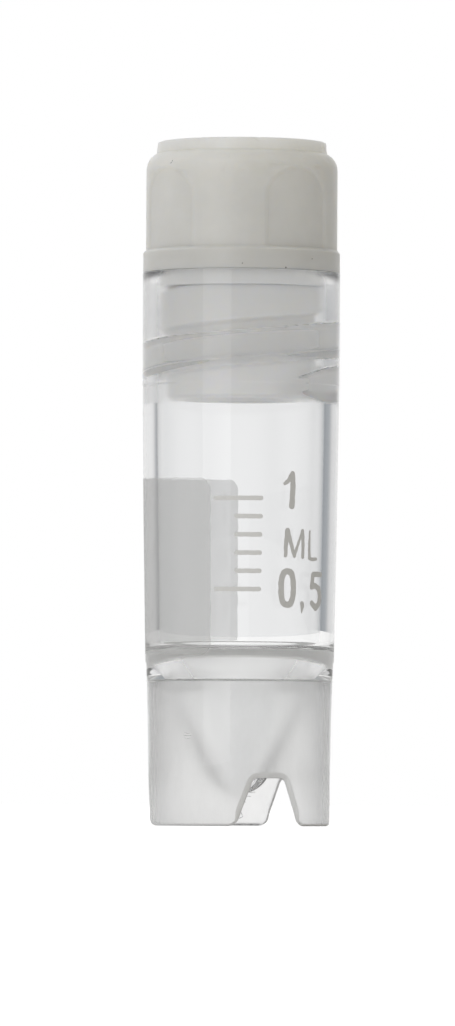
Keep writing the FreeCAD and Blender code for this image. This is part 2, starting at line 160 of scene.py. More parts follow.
def capped_skin(name, rows, start_tip, end_tip, materials, bands=None):
    """Closed skin: rings of points between two points on the axis. bands gives a material for each
    row or for each point."""
    rows = np.asarray(rows)
    count, columns = rows.shape[:2]
    tips = place(np.zeros(2), np.zeros(2), np.array([start_tip, end_tip]))
    vertices = np.concatenate([rows.reshape(-1, 3), tips])
    faces = grid_faces(count, columns).tolist()
    start, end, last = count * columns, count * columns + 1, (count - 1) * columns
    for column in range(columns):
        after = (column + 1) % columns
        faces.append((start, after, column))
        faces.append((last + column, last + after, end))
    indices = None
    if bands is not None:
        bands = np.array([np.broadcast_to(band, columns) for band in bands])
        indices = np.concatenate([bands[:-1].ravel(), np.stack([bands[0], bands[-1]], axis=1).ravel()])
    return new_piece(name, vertices, faces, materials, indices)


def ring_skin(name, profile, columns, materials):
    """Closed skin turned from a closed profile."""
    azimuth = np.arange(columns) * 360 / columns
    rows = np.array([place(azimuth, radius, height) for radius, height in profile])
    vertices = rows.reshape(-1, 3)
    faces = grid_faces(len(profile), columns)
    last = (len(profile) - 1) * columns
    column = np.arange(columns)
    after = (column + 1) % columns
    closing = np.stack([last + column, last + after, after, column], axis=-1)
    return new_piece(name, vertices, np.concatenate([faces, closing]).tolist(), materials)


def helical(azimuth, start, end):
    """Each azimuth carried on by whole turns as often as it falls between start and end."""
    first = math.floor(start / 360) - 1
    last = math.ceil(end / 360) + 1
    for turn in range(first, last + 1):
        yield azimuth + 360 * turn


def ridge_height(azimuth, height, start, end, taper, section):
    """How far a thread ridge stands out of its wall. section(along) gives the ridge's lower and
    upper edge at the crest and the widths of its lower and upper flank."""
    total = np.zeros(np.broadcast(azimuth, height).shape)
    for along in helical(azimuth, start, end):
        rise = ease(np.minimum(along - start, end - along) / taper)
        lower, upper, lower_flank, upper_flank = section(along)
        inside = np.minimum((height - lower) / lower_flank, (upper - height) / upper_flank)
        total = np.maximum(total, rise * ease(inside + 1))
    return total


# ---- Materials -----------------------------------------------------------------------

def fill_ramp(node, stops):
    """Gives a colour ramp its (position, colour) stops, in order."""
    elements = node.color_ramp.elements
    while len(elements) < len(stops):
        elements.new(0.5)
    for element, (position, colour) in zip(elements, stops):
        element.position = position
        element.color = (*colour, 1)


class Nodes:
    """Small helper for a material's node tree."""

    def __init__(self, name):
        self.material = bpy.data.materials.new(name)
        self.material.use_nodes = True
        self.tree = self.material.node_tree
        self.tree.nodes.clear()
        self.output = self.tree.nodes.new("ShaderNodeOutputMaterial")
        self.shader = self.tree.nodes.new("ShaderNodeBsdfPrincipled")
        self.tree.links.new(self.shader.outputs[0], self.output.inputs["Surface"])
        self.place = self.tree.nodes.new("ShaderNodeTexCoord").outputs["Object"]

    def set(self, **values):
        for name, value in values.items():
            self.shader.inputs[name.replace("_", " ")].default_value = value

    def link(self, source, target):
        self.tree.links.new(source, self.shader.inputs[target] if isinstance(target, str) else target)

    def stretched(self, scale):
        """The object's own coordinates, scaled."""
        node = self.tree.nodes.new("ShaderNodeMapping")
        node.inputs["Scale"].default_value = scale
        self.tree.links.new(self.place, node.inputs["Vector"])
        return node.outputs[0]

    def noise(self, scale, detail=2.0, rough=0.5, stretch=(1, 1, 1)):
        """Noise with this many features a metre."""
        node = self.tree.nodes.new("ShaderNodeTexNoise")
        node.inputs["Scale"].default_value = scale
        node.inputs["Detail"].default_value = detail
        node.inputs["Roughness"].default_value = rough
        self.tree.links.new(self.stretched(stretch), node.inputs["Vector"])
        return node.outputs[0]

    def ramp(self, source, stops):
        """Colour ramp through (position, colour) stops."""
        node = self.tree.nodes.new("ShaderNodeValToRGB")
        fill_ramp(node, stops)
        self.tree.links.new(source, node.inputs[0])
        return node.outputs[0]

    def colour(self, source, dark, light, start=0.3):
        """Base colour from dark to light as the source goes from start to 0.7."""
        self.link(self.ramp(source, [(start, dark), (0.7, light)]), "Base Color")

    def spread(self, source, low, high, start=0.3, end=0.7):
        """A number between low and high as the source goes from start to end."""
        node = self.tree.nodes.new("ShaderNodeMapRange")
        for name, value in (("From Min", start), ("From Max", end), ("To Min", low), ("To Max", high)):
            node.inputs[name].default_value = value
        self.tree.links.new(source, node.inputs["Value"])
        return node.outputs[0]

    def by_height(self, stops):
        """Grey that follows (height in millimetres, value) stops."""
        split = self.tree.nodes.new("ShaderNodeSeparateXYZ")
        self.tree.links.new(self.place, split.inputs[0])
        low, high = stops[0][0], stops[-1][0]
        level = self.spread(split.outputs["Z"], 0.0, 1.0, AXIS.z + low * MM, AXIS.z + high * MM)
        return self.ramp(level, [((height - low) / (high - low), (value,) * 3) for height, value in stops])

    def multiplied(self, one, other):
        """Product of two colours."""
        node = self.tree.nodes.new("ShaderNodeVectorMath")
        node.operation = "MULTIPLY"
        self.tree.links.new(one, node.inputs[0])
        self.tree.links.new(other, node.inputs[1])
        return node.outputs[0]

    def bump(self, source, depth, normal=None):
        """Surface relief this deep, in metres."""
        node = self.tree.nodes.new("ShaderNodeBump")
        node.inputs["Strength"].default_value = 1.0
        node.inputs["Distance"].default_value = depth
        self.tree.links.new(source, node.inputs["Height"])
        if normal is not None:
            self.tree.links.new(normal, node.inputs["Normal"])
        return node.outputs[0]


POLYPROPYLENE_IOR = 1.49


def clear_plastic(name, tint, roughness_low, roughness_high, ripple, grain=0.0, clarity=1.0):
    """Clear polypropylene, with the slight ripple and cloudiness of a moulded wall. ripple and grain
    are the depths in metres of the ripple and of the mould's spark-eroded texture; clarity is the
    share of the light that goes through."""
    nodes = Nodes(name)
    nodes.set(Base_Color=(*tint, 1), IOR=POLYPROPYLENE_IOR, Transmission_Weight=clarity)
    cloud = nodes.noise(900, 3, 0.6, (1, 1, 0.35))
    nodes.link(nodes.spread(cloud, roughness_low, roughness_high), "Roughness")
    relief = nodes.bump(nodes.noise(260, 2, 0.5, (1, 1, 0.3)), ripple)
    if grain:
        speckle = nodes.noise(3200, 4, 0.7, (1, 1, 0.35))
        nodes.colour(speckle, [0.94 * channel for channel in tint], tint)
        relief = nodes.bump(speckle, grain, relief)
    nodes.link(relief, "Normal")
    return nodes.material


def white_plastic(name, dark, light, depth, painted_shading):
    """Natural white polypropylene: satin, translucent and slightly uneven. depth is how far light
    travels in it; the last argument gives painted light and shade: how much lighter or darker the colour is
    made at some heights, standing in for how the light falls on the cap."""
    nodes = Nodes(name)
    nodes.set(IOR=POLYPROPYLENE_IOR)
    nodes.set(Subsurface_Weight=1.0, Subsurface_Radius=(1.0, 0.93, 0.78), Subsurface_Scale=depth)
    mottle = nodes.ramp(nodes.noise(420, 4, 0.6), [(0.3, dark), (0.7, light)])
    # Painted light and shade: the mottled colour is multiplied by a grey that changes with height.
    nodes.link(nodes.multiplied(mottle, nodes.by_height(painted_shading)), "Base Color")
    nodes.link(nodes.spread(nodes.noise(2600, 3, 0.6), 0.28, 0.40), "Roughness")
    grain = nodes.bump(nodes.noise(14000, 2, 0.6), 0.000002)
    nodes.link(nodes.bump(nodes.noise(300, 2, 0.5), 0.000012, grain), "Normal")
    return nodes.material


def silicone(name):
    """Milky silicone rubber."""
    nodes = Nodes(name)
    nodes.set(IOR=1.43, Subsurface_Weight=1.0, Subsurface_Radius=(1, 0.97, 0.9), Subsurface_Scale=0.0003)
    nodes.colour(nodes.noise(1200, 3), (0.9, 0.895, 0.88), (0.93, 0.925, 0.91))
    nodes.link(nodes.spread(nodes.noise(3000, 2), 0.35, 0.5), "Roughness")
    nodes.link(nodes.bump(nodes.noise(6000, 2), 0.000003), "Normal")
    return nodes.material


def ink(name, dark, light, cover):
    """Screen ink: matt, with a faint grain. cover is the share of the light that it stops."""
    nodes = Nodes(name)
    nodes.set(IOR=1.5, Specular_IOR_Level=0.3, Alpha=cover)
    nodes.colour(nodes.noise(5200, 4, 0.65), dark, light)
    nodes.link(nodes.spread(nodes.noise(2500, 2), 0.55, 0.7), "Roughness")
    nodes.link(nodes.bump(nodes.noise(16000, 2), 0.000002), "Normal")
    return nodes.material


def grime(name):
    """Dark dust."""
    nodes = Nodes(name)
    nodes.colour(nodes.noise(9000, 3), (0.06, 0.06, 0.055), (0.16, 0.155, 0.14), start=0.35)
    nodes.set(Roughness=0.8)
    return nodes.material


clear = clear_plastic("clear_polypropylene", (0.985, 0.988, 0.99), 0.0, 0.0, 0.0000012)
satin = clear_plastic("satin_polypropylene", (0.98, 0.983, 0.983), 0.20, 0.26, 0.000002)
hazy = clear_plastic("hazy_polypropylene", (0.985, 0.987, 0.985), 0.40, 0.50, 0.000002)
frosted = clear_plastic("textured_polypropylene", (1.0, 0.997, 0.99), 0.42, 0.52, 0.000006, 0.000008)
cut_face = clear_plastic("notch_face_polypropylene", (0.96, 0.96, 0.955), 0.45, 0.55, 0.000004, clarity=0.1)
milky = clear_plastic("milky_polypropylene", (0.97, 0.97, 0.96), 0.45, 0.55, 0.000002, clarity=0.5)
cloudy = clear_plastic("cloudy_polypropylene", (0.97, 0.967, 0.95), 0.45, 0.55, 0.000003, clarity=0.1)

# Painted light and shade on the cap's plastic: how much lighter or darker its colour is made at some heights,
# below the collar's foot and above it; lighter towards the head's top and the plug's foot, darker round the
# collar
PLUG_PAINTED_SHADING = ((26.9, 1.11), (28.2, 1.1), (29.5, 1.06), (31.0, 1.01), (33.0, 0.98), (34.9, 0.97))
HEAD_PAINTED_SHADING = (
    (34.8, 0.95), (36.1, 0.93), (36.6, 0.99), (39.0, 1.02), (41.5, 1.04), (42.4, 1.09), (43.2, 1.1),
)
HEAD_TINTS = (0.70, 0.695, 0.665), (0.745, 0.74, 0.712)
# Painted light: the plug is the head's plastic, given lighter tints to make up for the lamp light that does
# not reach it through the clear tube.
PLUG_LIT_TINTS = (0.87, 0.865, 0.85), (0.89, 0.886, 0.873)
cap_white = white_plastic("white_polypropylene", *HEAD_TINTS, 0.0022, HEAD_PAINTED_SHADING)
collar_white = white_plastic("collar_polypropylene", *HEAD_TINTS, 0.0005, HEAD_PAINTED_SHADING)
plug_white_painted_light = white_plastic("plug_polypropylene_painted_light", *PLUG_LIT_TINTS, 0.0005, PLUG_PAINTED_SHADING)
ring_silicone = silicone("milky_silicone")
tick_ink = ink("graduation_ink", (0.80, 0.795, 0.775), (0.87, 0.865, 0.84), 0.95)
mark_ink = ink("mark_ink", (0.66, 0.655, 0.63), (0.72, 0.715, 0.69), 0.95)
field_ink = ink("writing_field_ink", (0.66, 0.66, 0.65), (0.73, 0.73, 0.72), 0.24)
scratch = ink("scratch", (0.86, 0.86, 0.85), (0.93, 0.93, 0.92), 0.6)
graze = ink("graze", (0.38, 0.38, 0.38), (0.46, 0.46, 0.46), 0.8)
dust = grime("dust")


# ---- Tube ----------------------------------------------------------------------------

# Outside of the wall, as (height, radius): a slight taper, with the step between skirt and body
WALL = (
    (0, 5.705), (2.9, 5.738), (6.7, 5.8), (10.26, 5.9), (10.325, 5.955), (14.2, 6.02), (19.3, 6.112),
    (25.0, 6.19), (27.8, 6.22), (27.815, 6.235), (RIM, 6.25),
)
MOULD_LINE = 27.8         # a fine raised line runs round the wall here
RIM_OUTSIDE, RIM_INSIDE = 6.25, 5.4
MOUTH = (5.36, RIM - 0.04)
BORE = ((5.32, 32.6), (5.302, 26.6), (5.28, 24.0))        # radius and height
BORE_FLOOR, BORE_FLOOR_ROUND = (5.08, 11.2), 0.55
CHAMBER_NECK, CHAMBER_NECK_ROUND = (3.75, 10.92), 0.15
NECK_FOOT, LENS_FOOT = 10.8, 9.2      # the chamber's cone is hazy between these heights and clear below
CHAMBER_TIP, CHAMBER_TIP_ROUND, CHAMBER_HALF_ANGLE = 2.75, 0.85, 22.3
CONE_TIP, CONE_TIP_ROUND, CONE_HALF_ANGLE = 2.0, 2.07, 25.1
GAP_TOP = 9.25            # top of the gap between the cone and the skirt
TEXTURE_TOP = 9.05        # the skirt's inside is textured up to here, where the gap's vault begins
SKIRT_INSIDE = 5.34
SKIRT_JOIN = 4.7          # above this height the columns of points stand straight
NOTCHES = 3
NOTCH_AZIMUTH = 19.2
NOTCH_TOP, NOTCH_HALF_TOP, NOTCH_HALF_FOOT = 2.97, 0.98, 2.10      # where it is narrowest
NOTCH_TOP_ROUND, NOTCH_FOOT_ROUND = 0.42, 0.75
NOTCH_SLANT = 0.36        # how much wider the notch is at the outer face
NOTCH_SKEW = 1.2          # the cut runs slightly askew, in degrees over the wall
PARALLEL_TO, PARALLEL_FADE = 27, 16   # degrees from a notch's middle: its cut is parallel, then radial
UNROLLED = 5.5            # radius at which the skirt's edge is drawn flat
THIRD_COLUMNS = 120
HALF_THIRD = math.pi / NOTCHES * UNROLLED
RIDGE_START, RIDGE_END, RIDGE_TAPER = 24, 504, 50         # along the thread, in degrees
RIDGE_MIDDLE = 27.4       # height of the ridge's middle line at the front
RIDGE_RELIEF = 0.4
RIDGE_ZONE = (26.6, 32.6)
RIDGE_STEP, WALL_STEP, CONE_STEP = 0.066, 0.8, 0.7        # distance between rows of points
CLEAR, SATIN, HAZY, TEXTURED, CUT, MILKY, CLOUDY = range(7)
TUBE_FINISHES = [clear, satin, hazy, frosted, cut_face, milky, cloudy]


def wall_radius(height):
    """Radius of the tube's outside."""
    heights, radii = zip(*WALL)
    return np.interp(height, heights, radii)


def notch_line():
    """Lower edge of one third of the skirt, seen from outside: distance along the wall from the
    notch's middle, height, and the direction from the edge into the wall, at even steps."""
    right = [
        (NOTCH_HALF_TOP, NOTCH_TOP, NOTCH_TOP_ROUND), (NOTCH_HALF_FOOT, 0, NOTCH_FOOT_ROUND), (HALF_THIRD, 0),
    ]
    left = [(-across, *rest) for across, *rest in reversed(right)]
    line = rounded(left + right, 12)
    reached = np.concatenate([[0], np.cumsum(np.linalg.norm(np.diff(line, axis=0), axis=1))])
    wanted = np.arange(THIRD_COLUMNS) / THIRD_COLUMNS * reached[-1]

    def at(distance):
        return np.array([np.interp(distance, reached, line[:, 0]), np.interp(distance, reached, line[:, 1])])

    ahead = at(wanted + 0.04) - at(wanted - 0.04)
    ahead /= np.linalg.norm(ahead, axis=0)
    across, up = at(wanted)
    return across, up, -ahead[1], ahead[0]


def skirt_row(share, inset, side):
    """Row of points from the skirt's edge (share 0) to the height where columns stand straight
    (share 1). The edge is drawn back into the wall by the inset. side is 0 at the skirt's inner
    face and 1 at its outer face."""
    across, up, into_across, into_up = notch_line()
    upright = (np.arange(THIRD_COLUMNS) / THIRD_COLUMNS - 0.5) * 2 * HALF_THIRD
    across = (1 - share) * (across + into_across * inset) + share * upright
    height = (1 - share) * (up + into_up * inset) + share * SKIRT_JOIN
    radius = SKIRT_INSIDE + (wall_radius(height) - SKIRT_INSIDE) * side
    even = np.degrees(across / UNROLLED)
    parallel = np.degrees(np.arcsin(np.clip(UNROLLED * np.sin(np.radians(even)) / radius, -1, 1)))
    near = 1 - ease((np.abs(even) - PARALLEL_TO) / PARALLEL_FADE)
    azimuth = even + (parallel - even) * near * (1 - share)
    azimuth = azimuth + NOTCH_AZIMUTH + NOTCH_SKEW * (1 - side) * (1 - share)
    thirds = [place(azimuth + 360 / NOTCHES * turn, radius, height) for turn in range(NOTCHES)]
    return np.concatenate(thirds)


def corner_inset(share):
    """How far a round corner is drawn back, as share goes from 0 where it starts to 1 where it ends."""
    return 1 - np.sqrt(1 - np.maximum(0, share) ** 2)


def skirt_rows():
    """Rows and their finish: down the inside of the skirt, across its edge and up its outside.
    The edge has a rounded inner corner, a slanted face and a rounded outer corner in a notch."""
    in_notch = ease(notch_line()[1])
    inner_corner, inner_end = 0.07 + 0.21 * in_notch, 0.15 + 0.3 * in_notch
    outer_corner, outer_start = 0.22 - 0.13 * in_notch, 0.3 + 0.4 * in_notch
    slant, slant_start = NOTCH_SLANT * in_notch, 0.3
    shares = (0.86, 0.7, 0.54, 0.4, 0.28, 0.18, 0.1, 0.04)
    for share in shares:
        yield skirt_row(share, inner_corner, 0), TEXTURED
    for side in (0, 0.02, 0.07, 0.15, 0.3, 0.45, 0.6, 0.72, 0.82, 0.9, 0.96, 1.0):
        inset = inner_corner * corner_inset(1 - side / inner_end)
        inset = inset + slant * max(0, side - slant_start) / (1 - slant_start)
        inset = inset + outer_corner * corner_inset((side - outer_start) / (1 - outer_start))
        yield skirt_row(0, inset, side), TEXTURED if side < 0.1 else CUT if side < 0.95 else CLEAR
    for share in reversed(shares):
        yield skirt_row(share, slant + outer_corner, 1), CLEAR


def cone_profile():
    """Underside of the cone from its tip up into the gap, and the gap's vaulted top."""
    tip = tip_arc(CONE_TIP, CONE_TIP_ROUND, CONE_HALF_ANGLE)
    gap_inside = tip[-1][0] + (GAP_TOP - tip[-1][1]) * math.tan(math.radians(CONE_HALF_ANGLE))
    angles = np.radians(np.linspace(30, 90, 9))
    vault = np.stack([
        gap_inside + (SKIRT_INSIDE - gap_inside) * np.sin(angles),
        TEXTURE_TOP + (GAP_TOP - TEXTURE_TOP) * np.cos(angles),
    ], axis=1)
    side = rounded([tip[-1], (gap_inside, GAP_TOP, 0.05), vault[0]])[:-1]
    return np.concatenate([tip[:-1], divided(side, CONE_STEP)]), vault[:-1]


def outer_profile():
    """Outside of the tube above the skirt, and over the rim to the mouth."""
    heights = [SKIRT_JOIN] + [height for height, _ in WALL if SKIRT_JOIN < height < MOULD_LINE]
    heights += [MOULD_LINE - 0.08, MOULD_LINE - 0.02]
    wall = [(float(wall_radius(height)), height) for height in heights]
    line = [(6.245, MOULD_LINE), (6.236, MOULD_LINE + 0.03), (6.236, MOULD_LINE + 0.1)]
    rim = [(RIM_OUTSIDE, RIM, 0.04), (RIM_INSIDE, RIM, 0.02), MOUTH]
    return divided(rounded(wall + line + rim), 1.4)


def bore_profile():
    """Inside of the tube from under the mouth to the side of the chamber's cone, and the cone's tip."""
    tip = tip_arc(CHAMBER_TIP, CHAMBER_TIP_ROUND, CHAMBER_HALF_ANGLE)
    neck_foot = np.interp(NECK_FOOT, [tip[-1][1], CHAMBER_NECK[1]], [tip[-1][0], CHAMBER_NECK[0]])
    bore = rounded([
        MOUTH, *BORE, (*BORE_FLOOR, BORE_FLOOR_ROUND), (*CHAMBER_NECK, CHAMBER_NECK_ROUND),
        (neck_foot, NECK_FOOT), tip[-1],
    ], 10)
    return divided(divided(bore, RIDGE_STEP, *RIDGE_ZONE), WALL_STEP)[1:], tip[-2::-1]


def bore_finish(height):
    """Finish of the inside of the tube at this height."""
    if height > RIDGE_ZONE[0]:
        return SATIN
    if height > BORE_FLOOR[1]:
        return CLEAR
    if height > NECK_FOOT:
        return CLOUDY
    return HAZY if height > LENS_FOOT else CLEAR


def ridge_section(along):
    """Edges and flanks of the ridge in the bore, which is smaller towards its ends."""
    size = 0.4 + 0.6 * ease(np.minimum(along - RIDGE_START, RIDGE_END - along) / RIDGE_TAPER)
    middle = RIDGE_MIDDLE + THREAD_LEAD * along / 360
    return middle - 0.5 * size, middle + 0.55 * size, 0.8 * size, 0.45 * size


def make_tube():
    columns = NOTCHES * THIRD_COLUMNS
    azimuth = NOTCH_AZIMUTH - 180 / NOTCHES + np.arange(columns) * 360 / columns
    rows, bands = [], []

    def turn(profile, finish):
        for radius, height in profile:
            rows.append(place(azimuth, np.full(azimuth.shape, radius), height))
            bands.append(finish)

    cone, vault = cone_profile()
    turn(cone, CLEAR)
    turn(vault, MILKY)
    turn(divided(np.array([(SKIRT_INSIDE, TEXTURE_TOP), (SKIRT_INSIDE, SKIRT_JOIN)]), CONE_STEP), TEXTURED)
    for row, finish in skirt_rows():
        rows.append(row)
        bands.append(finish)
    outside = outer_profile()
    rim = int(np.argmax(outside[:, 1] > RIM - 0.001))
    turn(outside[:rim], CLEAR)
    turn(outside[rim:-1], CLOUDY)
    turn(outside[-1:], SATIN)
    bore, chamber_tip = bore_profile()
    ridge = (RIDGE_START, RIDGE_END, RIDGE_TAPER, ridge_section)
    for radius, height in bore:
        relief = RIDGE_RELIEF * ridge_height(azimuth, height, *ridge)
        rows.append(place(azimuth, radius - relief, height))
        bands.append(np.where(relief > 0.003, MILKY, bore_finish(height)))
    turn(chamber_tip, CLEAR)
    tube = capped_skin("tube_clear", rows, CONE_TIP, CHAMBER_TIP, TUBE_FINISHES, bands)
    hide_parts("tube")
    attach(tube, "tube")
    return tube


# ---- Cap and seal ring ---------------------------------------------------------------

HEAD_RADIUS = 6.05
SHOULDER_FOOT, SHOULDER_TOP, SHOULDER_ROUND = (HEAD_RADIUS, 41.4), (5.44, 42.43), 1.13
HEAD_MIDDLE = 38.0
COLLAR_RADIUS = 6.22
COLLAR_TOP = COLLAR_FOOT + 1.25
LIP_OUTSIDE, LIP_INSIDE = 5.32, 4.75
RECESS_FLOOR = CAP_TOP - 1.0
PANELS, PANEL_AZIMUTH = 4, 37.0
PANEL_FLOOR, PANEL_ARCH = 5.95, 2.48  # radii of a panel's floor and of the two halves of its pointed arch
PANEL_HALF, PANEL_SPRING, PANEL_CROWN = 2.28, 39.87, 41.38
PLUG_RADIUS, PLUG_FOOT = 4.67, 26.9
HOLLOW_TOP, HOLLOW_TOP_RADIUS, HOLLOW_FOOT_RADIUS = 40.9, 3.35, 3.65
PLUG_RIDGE_START, PLUG_RIDGE_END, PLUG_RIDGE_TAPER = -190, 470, 35       # along the thread, in degrees
PLUG_RIDGE_FOOT = 29.06   # height of the ridge's lower edge at the front
PLUG_RIDGE_RELIEF = 0.38
PLUG_RIDGE_LIMIT = 34     # the ridge ends at this height, under the seal ring
NICKS, NICKS_FOOT = 90, 40.5
NICKED_EDGES = (42.45, 42.8, 43.15, 42.0, 41.5, 41.1)
NEAR_AXIS = 0.4           # radius of the last ring of points round a flat middle
CAP_COLUMNS, CAP_STEP = 324, 0.07     # CAP_STEP is the distance between rows where the shape is fine
HEAD, PLUG, COLLAR = range(3)
CAP_PLASTICS = [cap_white, plug_white_painted_light, collar_white]


def panel_depth(azimuth, radius, height):
    """How deep each point of the head lies in an arched grip panel, from 0 to 1."""
    rise = PANEL_CROWN - PANEL_SPRING
    chord = math.hypot(PANEL_HALF, rise)
    lean = math.atan2(rise, PANEL_HALF)
    drop = math.sqrt(PANEL_ARCH ** 2 - (chord / 2) ** 2)
    centre_across = PANEL_HALF / 2 - drop * math.sin(lean)
    centre_up = (PANEL_SPRING + PANEL_CROWN) / 2 - drop * math.cos(lean)
    total = np.zeros(azimuth.shape)
    for panel in range(PANELS):
        away = (azimuth - PANEL_AZIMUTH - 360 / PANELS * panel + 180) % 360 - 180
        across = np.abs(radius * np.sin(np.radians(away)))
        inside = np.minimum(PANEL_HALF - across, height - COLLAR_TOP + 0.3)
        if height > PANEL_SPRING:
            inside = PANEL_ARCH - np.hypot(across - centre_across, height - centre_up)
        total = np.maximum(total, np.where(np.abs(away) < 45, ease(inside / 0.2 + 0.5), 0))
    return total


def plug_section(along):
    """Edges and flanks of the ridge on the plug, which widens over its last turn."""
    lower = PLUG_RIDGE_FOOT + THREAD_LEAD * along / 360
    upper = lower + 0.35 + ease((along - 110) / 170) + 0.9 * ease((along - 225) / 75)
    return lower, upper, 0.3, 0.3


def nicks(azimuth, height):
    """Small dents and a ragged trim on the cap's upper edges."""
    rng = np.random.default_rng(11)
    total = np.zeros(azimuth.shape)
    for _ in range(NICKS):
        middle, level = rng.uniform(0, 360), rng.choice(NICKED_EDGES)
        wide, tall, deep = rng.uniform(1.0, 3.6), rng.uniform(0.08, 0.3), rng.uniform(-0.02, 0.1)
        away = (azimuth - middle + 180) % 360 - 180
        total += deep * np.exp(-(away / wide) ** 2 - ((height - level) / tall) ** 2)
    return total


def cap_profile():
    """Out of the hollow in the plug, up the outside of the plug, under the collar, up the head and
    over the lip into the shallow recess on top."""
    low = rounded([
        (NEAR_AXIS, HOLLOW_TOP), (HOLLOW_TOP_RADIUS, HOLLOW_TOP, 0.4), (HOLLOW_FOOT_RADIUS, PLUG_FOOT, 0.08),
        (4.49, PLUG_FOOT, 0.05), (PLUG_RADIUS, PLUG_FOOT + 0.18, 0.05), (PLUG_RADIUS, COLLAR_FOOT, 0.04),
        (COLLAR_RADIUS, COLLAR_FOOT, 0.02), (COLLAR_RADIUS, COLLAR_TOP, 0.05),
        (HEAD_RADIUS, COLLAR_TOP + 0.2, 0.04), (HEAD_RADIUS, HEAD_MIDDLE),
    ], 4)
    foot = int(np.argmin(np.abs(low[:, 1] - PLUG_FOOT)))
    hollow = divided(low[:foot + 1], 1.2)
    plug = divided(divided(low[foot:], CAP_STEP, PLUG_FOOT + 0.2, PLUG_RIDGE_LIMIT + 0.2), 0.8)
    shoulder = arc(SHOULDER_FOOT, SHOULDER_TOP, SHOULDER_ROUND)
    head = divided(np.concatenate([low[-1:], shoulder]), CAP_STEP, HEAD_MIDDLE, 41.5)
    lip = rounded([
        SHOULDER_TOP, (5.4, 42.44, 0.02), (LIP_OUTSIDE, CAP_TOP, 0.14), (LIP_INSIDE, CAP_TOP, 0.12),
        (LIP_INSIDE, RECESS_FLOOR, 0.15), (NEAR_AXIS, RECESS_FLOOR),
    ], 5)[1:]
    return np.concatenate([hollow, plug[1:], head[1:], divided(lip, 0.11, 42.4)])


def cap_band(radius, height):
    """Which plastic a point of the cap's profile has."""
    if height < COLLAR_FOOT:
        return PLUG
    if height < COLLAR_TOP and radius > PLUG_RADIUS:
        return COLLAR
    return HEAD


def make_cap():
    azimuth = np.arange(CAP_COLUMNS) * 360 / CAP_COLUMNS
    ridge = (PLUG_RIDGE_START, PLUG_RIDGE_END, PLUG_RIDGE_TAPER, plug_section)
    rows, bands = [], []
    for radius, height in cap_profile():
        radii = np.full(azimuth.shape, radius)
        if height < PLUG_RIDGE_LIMIT and abs(radius - PLUG_RADIUS) < 0.01:
            radii = radii + PLUG_RIDGE_RELIEF * ridge_height(azimuth, height, *ridge)
        if height > COLLAR_TOP + 0.1 and radius > PANEL_FLOOR:
            radii = radii - (radius - PANEL_FLOOR) * panel_depth(azimuth, radius, height)
        if height > NICKS_FOOT and radius > LIP_INSIDE + 0.15:
            radii = radii - nicks(azimuth, height)
        rows.append(place(azimuth, radii, height))
        bands.append(cap_band(radius, height))
    cap = capped_skin("cap_white", rows, HOLLOW_TOP, RECESS_FLOOR, CAP_PLASTICS, bands)
    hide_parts("cap")
    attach(cap, "cap")
    return cap


RING_INSIDE = 4.7


def make_ring():
    low = (RING_LOW.z - TUBE_LOW.z) / MM
    high = (RING_HIGH.z - TUBE_LOW.z) / MM
    outside = (RING_HIGH.x - RING_LOW.x) / 2 / MM
    start = ((RING_INSIDE + outside) / 2, low)
    corners = [
        (outside, low, 0.08), (outside, high, 0.03), (RING_INSIDE, high, 0.05), (RING_INSIDE, low, 0.05),
    ]
    profile = rounded([start, *corners, start])[:-1]
    ring = ring_skin("silicone_ring", profile, 240, [ring_silicone])
    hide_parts("seal_ring")
    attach(ring, "seal")
    return ring


# ---- Print, dust and scratches -------------------------------------------------------

PRINT_RADIUS = 6.1        # print is drawn in millimetres round a tube of this radius
INK_LOW, INK_HIGH = 0.004, 0.014      # heights of the ink's faces over the wall
MARKS, TOP_MARK, MARK_PITCH = 6, 20.51, 1.14
LONG_MARKS, LONG_START, SHORT_START, MARK_END = (0, 5), -1.7, -0.38, 1.29
FIELD_LOW, FIELD_HIGH, FIELD_CORNER = (-19.0, 10.72), (-1.9, 21.76), 0.7
FINE, MEDIUM, COARSE = 0.018, 0.045, 0.15       # sizes of the cells that print is meshed with
GLYPHS = {                # brush lines through (across, height, half width) points
    "numeral_one": [
        (2.86, 21.45, 0.12), (3.07, 21.59, 0.13), (3.40, 22.07, 0.17), (3.44, 21.3, 0.19), (3.40, 20.6, 0.19),
        (3.37, 20.05, 0.21),
    ],
    "letter_m": [
        (2.96, 16.93, 0.12), (2.98, 17.6, 0.14), (3.07, 18.5, 0.17), (3.28, 17.9, 0.14), (3.60, 16.92, 0.12),
        (3.95, 17.85, 0.085), (4.23, 18.5, 0.12), (4.28, 17.7, 0.13), (4.27, 16.87, 0.12),
    ],
    "letter_l": [
        (4.84, 18.5, 0.07), (4.82, 17.6, 0.10), (4.84, 16.8, 0.12), (5.0, 16.74, 0.12), (5.48, 16.76, 0.10),
    ],
    "comma": [(4.27, 13.93, 0.16), (4.29, 13.75, 0.14), (4.25, 13.38, 0.05)],
    "numeral_five": [
        (6.0, 15.80, 0.17), (5.22, 15.80, 0.17), (5.10, 15.0, 0.17), (5.45, 15.08, 0.18), (5.82, 14.9, 0.2),
        (5.97, 14.45, 0.2), (5.85, 13.95, 0.2), (5.52, 13.7, 0.2), (5.14, 13.98, 0.18),
    ],
}


def stroke(points):
    """Distance field of a brush line through (across, height, half width) points."""

    def field(across, height):
        nearest = np.full(across.shape, 1e9)
        for start, end in zip(points[:-1], points[1:]):
            run = np.array(end[:2]) - np.array(start[:2]) + 1e-9
            share = ((across - start[0]) * run[0] + (height - start[1]) * run[1]) / (run @ run)
            share = np.clip(share, 0, 1)
            gap = np.hypot(across - start[0] - share * run[0], height - start[1] - share * run[1])
            nearest = np.minimum(nearest, gap - start[2] - share * (end[2] - start[2]))
        return nearest

    return field


